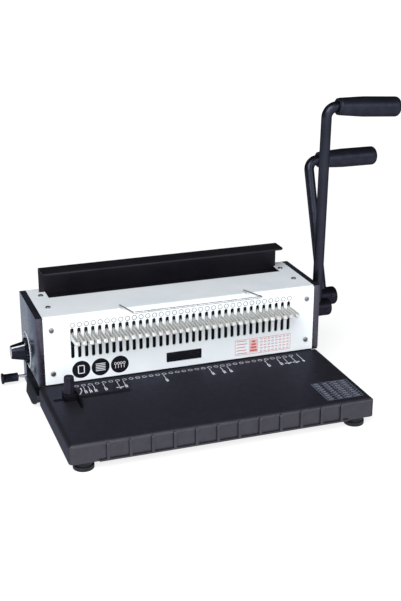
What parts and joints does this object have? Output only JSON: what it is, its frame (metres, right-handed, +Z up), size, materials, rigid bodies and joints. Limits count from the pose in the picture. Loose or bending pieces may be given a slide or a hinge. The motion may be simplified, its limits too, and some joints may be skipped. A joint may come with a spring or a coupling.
{
  "type": "wire binding machine",
  "caption": "Desktop binding machine that punches a hole row along a paper edge and closes wire bindings, worked by two side levers.",
  "frame": {"origin": "centre of the bounding box in plan, on the surface that the feet stand on", "axes": "+X along the hole row towards the levers, +Y from the paper table towards the back, +Z up"},
  "size_m": [0.5326, 0.3019, 0.3536],
  "materials": {
    "table_plastic": "fine grained, satin",
    "panel_plastic": "satin",
    "grip_plastic": "satin",
    "black_steel": "semi-gloss powder coat",
    "white_steel": "semi-gloss powder coat",
    "badge_black": "gloss",
    "zinc_steel": "zinc plated",
    "tool_steel": "ground",
    "finger_steel": "zinc plated",
    "bright_wire": "polished",
    "bush_brass": "turned",
    "guide_plastic": "natural",
    "foot_rubber": "matt"
  },
  "bodies": {
    "frame": {"table": "table_plastic", "feet": "foot_rubber", "foot_screws": "zinc_steel", "pan": "black_steel", "table_screws": "zinc_steel", "left_panel": "panel_plastic", "right_panel": "panel_plastic", "left_frame": "zinc_steel", "right_frame": "zinc_steel", "panel_screws": "zinc_steel", "tie_rods": "zinc_steel", "cover": "white_steel", "cover_screws": "zinc_steel", "back_cover": "white_steel", "back_screws": "zinc_steel", "badge": "badge_black", "wire_bail": "bright_wire", "bail_collars": "zinc_steel", "finger_rack": "finger_steel", "rack_screws": "zinc_steel", "die_plate": "black_steel", "paper_stop": "black_steel", "stripper": "black_steel", "die_screws": "black_steel", "guide_posts": "tool_steel", "shaft_bushes": "bush_brass", "bar_guides": "guide_plastic", "anvil": "black_steel"},
    "punch_lever": {"punch_shaft": "tool_steel", "punch_cams": "tool_steel", "punch_hub": "black_steel", "punch_arm": "black_steel", "punch_grip": "grip_plastic", "punch_set_screw": "black_steel"},
    "punch_carriage": {"punch_bar": "tool_steel", "punch_cap": "tool_steel", "punches": "tool_steel", "punch_yokes": "tool_steel", "yoke_screws": "zinc_steel"},
    "binding_lever": {"bind_shaft": "tool_steel", "hook_cranks": "tool_steel", "closing_cranks": "tool_steel", "bind_hub": "black_steel", "bind_arm": "black_steel", "bind_grip": "grip_plastic", "bind_set_screw": "black_steel"},
    "closing_carriage": {"closing_bar": "black_steel", "closing_brackets": "tool_steel"},
    "hook_carriage": {"hook_rack": "black_steel", "hook_brackets": "tool_steel"},
    "dial": {"dial_shaft": "tool_steel", "dial_knob": "panel_plastic"},
    "selector": {"selector_rod": "bright_wire", "selector_knob": "panel_plastic", "rod_clip": "zinc_steel"},
    "tray": {"chip_tray": "panel_plastic"},
    "edge_guide": {"edge_guide": "black_steel", "edge_nut": "zinc_steel"},
    "edge_knob": {"edge_knob": "panel_plastic"}
  },
  "joints": [
    {"name": "punch_lever_turn", "type": "hinge", "parent": "frame", "child": "punch_lever", "pos_m": [0.1422, 0.04686, 0.077], "axis": [1, 0, 0], "range_deg": [0, 77.3]},
    {"name": "punch_carriage_drop", "type": "slide", "parent": "frame", "child": "punch_carriage", "axis": [0, 0, -1], "range_m": [0, 0.01]},
    {"name": "binding_lever_turn", "type": "hinge", "parent": "frame", "child": "binding_lever", "pos_m": [0.1657, 0.07906, 0.079], "axis": [1, 0, 0], "range_deg": [0, 80]},
    {"name": "closing_bar_drop", "type": "slide", "parent": "frame", "child": "closing_carriage", "axis": [0, 0, -1], "range_m": [0, 0.022]},
    {"name": "hook_rack_drop", "type": "slide", "parent": "frame", "child": "hook_carriage", "axis": [0, 0, -1], "range_m": [0, 0.013]},
    {"name": "dial_turn", "type": "hinge", "parent": "frame", "child": "dial", "pos_m": [-0.2438, 0.07946, 0.056], "axis": [1, 0, 0], "range_deg": [0, 270]},
    {"name": "selector_pull", "type": "slide", "parent": "frame", "child": "selector", "axis": [-1, 0, 0], "range_m": [0, 0.015]},
    {"name": "tray_pull", "type": "slide", "parent": "frame", "child": "tray", "axis": [-1, 0, 0], "range_m": [0, 0.25]},
    {"name": "edge_guide_slide", "type": "slide", "parent": "frame", "child": "edge_guide", "axis": [1, 0, 0], "range_m": [-0.015, 0.07]},
    {"name": "edge_knob_turn", "type": "hinge", "parent": "edge_guide", "child": "edge_knob", "pos_m": [-0.2086, -0.03344, 0.056], "axis": [0, 0, 1], "range_deg": [0, 360]}
  ],
  "couplings": [
    {"joint": "punch_carriage_drop", "follows": "punch_lever_turn", "m_per_rad": 0.007406},
    {"joint": "closing_bar_drop", "follows": "binding_lever_turn", "m_per_rad": 0.015756},
    {"joint": "hook_rack_drop", "follows": "binding_lever_turn", "m_per_rad": 0.00931}
  ]
}
